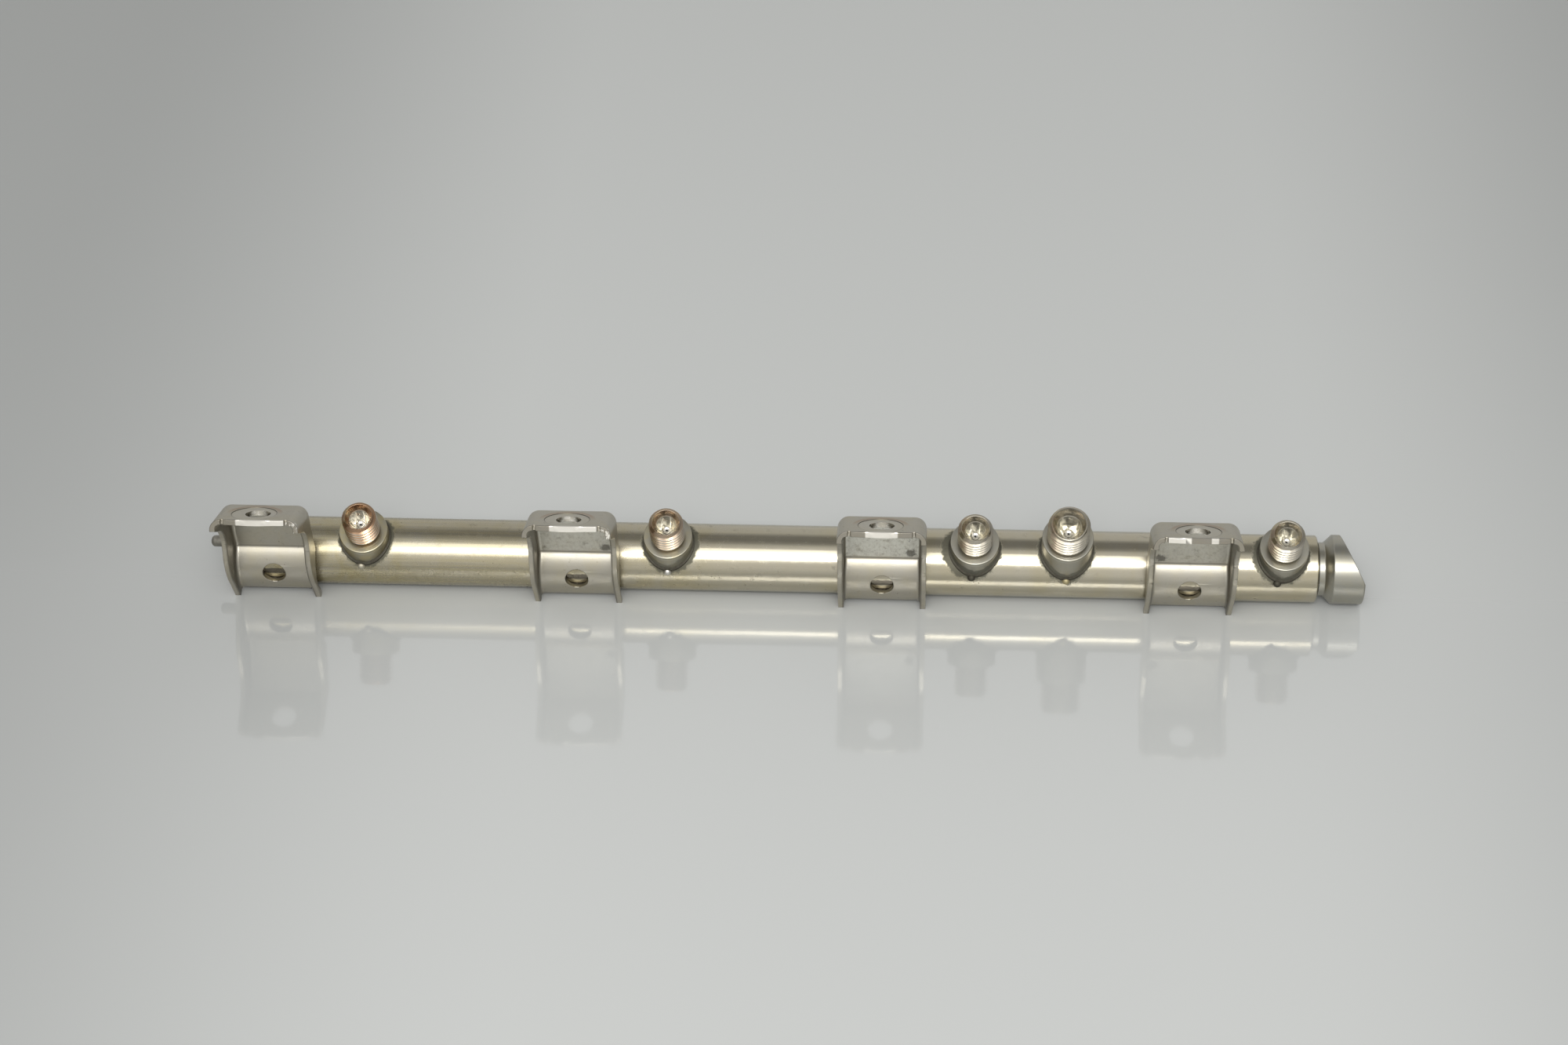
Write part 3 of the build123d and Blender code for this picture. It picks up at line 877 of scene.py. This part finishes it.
class RailBrackets(bpy.types.Operator):
    """Makes the four stamped brackets with rounded cut edges"""
    bl_idname = "fuel_rail.brackets"
    bl_label = "Brackets"
    pad_radius = 8.0 * MM  # the bolt hole's edges within this reach stay sharp
    pad_height = 1.5 * MM

    def execute(self, context):
        sizes = context.scene.rail_sheet
        for node, mount_name in BRACKETS.items():
            bolt = MOUNTS[mount_name]
            centre = Vector(bolt["pos_m"])
            axis = Vector(bolt["axis"])

            def weight(a, b):
                middle = (a + b) / 2 - centre
                high = middle.dot(axis)
                off = (middle - axis * high).length
                return 0.0 if off < self.pad_radius and abs(high) < self.pad_height else 1.0

            paint = paint_bracket(context.scene.rail_colours, mount_name, BRACKET_LOOKS[node])
            piece = rounded_copy(node, f"{node}_sheet", sizes.edge_radius, weight)
            set_material(piece, material_for(f"{node}_metal", paint))
            finished(piece, [node])
        return {"FINISHED"}


class RailNipples(bpy.types.Operator):
    """Turns the five nipples and cuts their threads"""
    bl_idname = "fuel_rail.nipples"
    bl_label = "Nipples"

    def execute(self, context):
        tree = thread_tree()
        for node, look in NIPPLE_LOOKS.items():
            s = port_sizes(node)
            paint = paint_nipple(context.scene.rail_colours, node, look, s)
            thread_radius = MOUNTS[PORTS[node]]["dims"]["r_mm"] * MM
            piece = new_object(f"{node}_turned", nipple_mesh(node, s, thread_radius))
            cut_thread(piece, tree, s, thread_radius, material_for(f"{node}_metal", paint))
            piece.data.shade_smooth()
            piece.data.set_sharp_from_angle(angle=TURNED_SHARP_ANGLE)
            piece.data.transform(nipple_place(node, s))
            finished(piece, [node])
        return {"FINISHED"}


class RailPlugs(bpy.types.Operator):
    """Finishes the end plug, the closing plug and its pin"""
    bl_idname = "fuel_rail.plugs"
    bl_label = "Plugs"

    def execute(self, context):
        colours = context.scene.rail_colours
        edge = context.scene.rail_sheet.plug_edge_radius
        piece = rounded_copy("end_plug", "end_plug_turned", edge, lambda a, b: 1.0)
        set_material(piece, material_for("turned_steel", paint_plug(colours)))
        finished(piece, ["end_plug"])
        dull = material_for("dull_steel", paint_pin(colours))
        for node in ("closing_plug", "locating_pin"):
            set_material(frame["nodes"][node], dull)
        return {"FINISHED"}


class RailBrazing(bpy.types.Operator):
    """Finishes the braze in every joint"""
    bl_idname = "fuel_rail.brazing"
    bl_label = "Brazing"

    def execute(self, context):
        for name, node in frame["nodes"].items():
            if "braze" in name:
                kind = f"{name}_metal" if name in DROPS else "rough_braze"
                paint = paint_braze(context.scene.rail_colours, *DROPS.get(name, ()))
                set_material(node, material_for(kind, paint))
        return {"FINISHED"}


FLOOR_REACH = 4.0
ROOM_GREY = 0.69
SIDE_DARKENING = 0.45
CEILING = (0.0, 0.26, 0.966)  # direction of the dark patch above and behind the rail
CEILING_GREY = 0.25
LAMPS = (  # name, share of the window light, size and place
    ("window", 0.75, (0.56, 0.36), (0.05, -1.14, 0.98)),
    ("blind", 0.82, (1.8, 0.80), (-0.1, -1.02, 1.14)),
)
LAMP_AIM_HEIGHT = 0.02
SENSOR_WIDTH = 36.0
CAMERA_PLACE = (0.040386, -0.735468, 0.559684)
CAMERA_TILT, CAMERA_YAW, CAMERA_ROLL = (math.radians(a) for a in (35.754, 3.071, -0.703))


class RailStageMaker(bpy.types.Operator):
    """Sets up the pale table, the lamps and the camera"""
    bl_idname = "fuel_rail.stage"
    bl_label = "Stage"

    def execute(self, context):
        stage = context.scene.rail_stage
        self.make_floor(context.scene.rail_colours)
        self.make_world(context.scene, stage)
        for name, share, size, place in LAMPS:
            self.make_lamp(name, share * stage.window_light, size, place)
        self.make_camera(context.scene, stage)
        context.scene.view_settings.view_transform = "Standard"
        return {"FINISHED"}

    def make_floor(self, colours):
        mesh = bpy.data.meshes.new("floor")
        corners = [(x * FLOOR_REACH, y * FLOOR_REACH, 0)
                   for x, y in ((-1, -1), (1, -1), (1, 1), (-1, 1))]
        mesh.from_pydata(corners, [], [(0, 1, 2, 3)])
        floor = new_object("floor", mesh)
        set_material(floor, material_for("table_top", paint_floor(colours)))

    def make_world(self, scene, stage):
        world = bpy.data.worlds.new("room")
        world.use_nodes = True
        shade = Shade(world.node_tree)
        direction = shade.node("ShaderNodeTexCoord", out="Generated")
        near = shade.axis(direction, 1).rise(-0.8, 0.2, 0.22, 0.0)
        overhead = shade.dot(direction, CEILING).rise(0.88, 0.985)
        sides = abs(shade.axis(direction, 0)).rise(0.35, 0.9)
        grey = (near + ROOM_GREY) * (1.0 - sides * SIDE_DARKENING)
        grey = grey * (1.0 - overhead) + overhead * CEILING_GREY
        tone = shade.blend(grey, (0.0, 0.0, 0.0), (1.0, 1.0, 0.985))
        background = shade.node("ShaderNodeBackground", None,
                                {"Color": tone, "Strength": stage.room_light})
        shade.node("ShaderNodeOutputWorld", None, {"Surface": background})
        scene.world = world

    def make_lamp(self, name, power, size, place):
        data = bpy.data.lights.new(name, "AREA")
        data.shape = "RECTANGLE"
        data.size, data.size_y = size
        data.energy = power
        made = new_object(name, data)
        made.location = place
        aim = Vector((place[0], 0.0, LAMP_AIM_HEIGHT)) - Vector(place)
        made.rotation_euler = aim.to_track_quat("-Z", "Y").to_euler()

    def make_camera(self, scene, stage):
        data = bpy.data.cameras.new("camera")
        data.lens = stage.lens
        data.sensor_width = SENSOR_WIDTH
        data.sensor_fit = "HORIZONTAL"
        data.clip_start = 0.01
        made = new_object("camera", data)
        look = Vector((-math.sin(CAMERA_YAW) * math.cos(CAMERA_TILT),
                       math.cos(CAMERA_YAW) * math.cos(CAMERA_TILT), -math.sin(CAMERA_TILT)))
        right = Vector((math.cos(CAMERA_YAW), math.sin(CAMERA_YAW), 0.0))
        up = right.cross(look)
        side = right * math.cos(CAMERA_ROLL) + up * math.sin(CAMERA_ROLL)
        top = up * math.cos(CAMERA_ROLL) - right * math.sin(CAMERA_ROLL)
        turn = Matrix((side, top, -look)).transposed().to_4x4()
        made.matrix_world = Matrix.Translation(CAMERA_PLACE) @ turn
        scene.camera = made


class RailPanel(bpy.types.Panel):
    """Lists the steps that dress the fuel rail"""
    bl_idname = "VIEW3D_PT_fuel_rail"
    bl_label = "Fuel rail"
    bl_space_type = "VIEW_3D"
    bl_region_type = "UI"
    bl_category = "Fuel rail"

    def draw(self, context):
        for step in STEPS:
            self.layout.operator(step.bl_idname)
        for group in GROUPS:
            settings = getattr(context.scene, group)
            for name in settings.__annotations__:
                self.layout.prop(settings, name)


STEPS = (RailTube, RailBrackets, RailNipples, RailPlugs, RailBrazing, RailStageMaker)
GROUPS = {
    "rail_injector": RailNippleSizes,
    "rail_inlet": RailNippleSizes,
    "rail_sheet": RailSheetSizes,
    "rail_colours": RailColours,
    "rail_stage": RailStage,
}


def register():
    for settings in dict.fromkeys(GROUPS.values()):
        bpy.utils.register_class(settings)
    for step in STEPS:
        bpy.utils.register_class(step)
    bpy.utils.register_class(RailPanel)
    for name, settings in GROUPS.items():
        setattr(bpy.types.Scene, name, bpy.props.PointerProperty(type=settings))


def unregister():
    for name in GROUPS:
        delattr(bpy.types.Scene, name)
    bpy.utils.unregister_class(RailPanel)
    for step in reversed(STEPS):
        bpy.utils.unregister_class(step)
    for settings in reversed(dict.fromkeys(GROUPS.values())):
        bpy.utils.unregister_class(settings)


def main():
    register()
    inlet = bpy.context.scene.rail_inlet
    inlet.collar_radius = 7.3 * MM
    inlet.collar_top = 18.4 * MM
    inlet.first_crest = 19.65 * MM
    inlet.rim = 27.6 * MM
    inlet.mouth_radius = 4.7 * MM
    for step in STEPS:
        group, name = step.bl_idname.split(".")
        getattr(getattr(bpy.ops, group), name)()


if __name__ == "__main__":
    main()
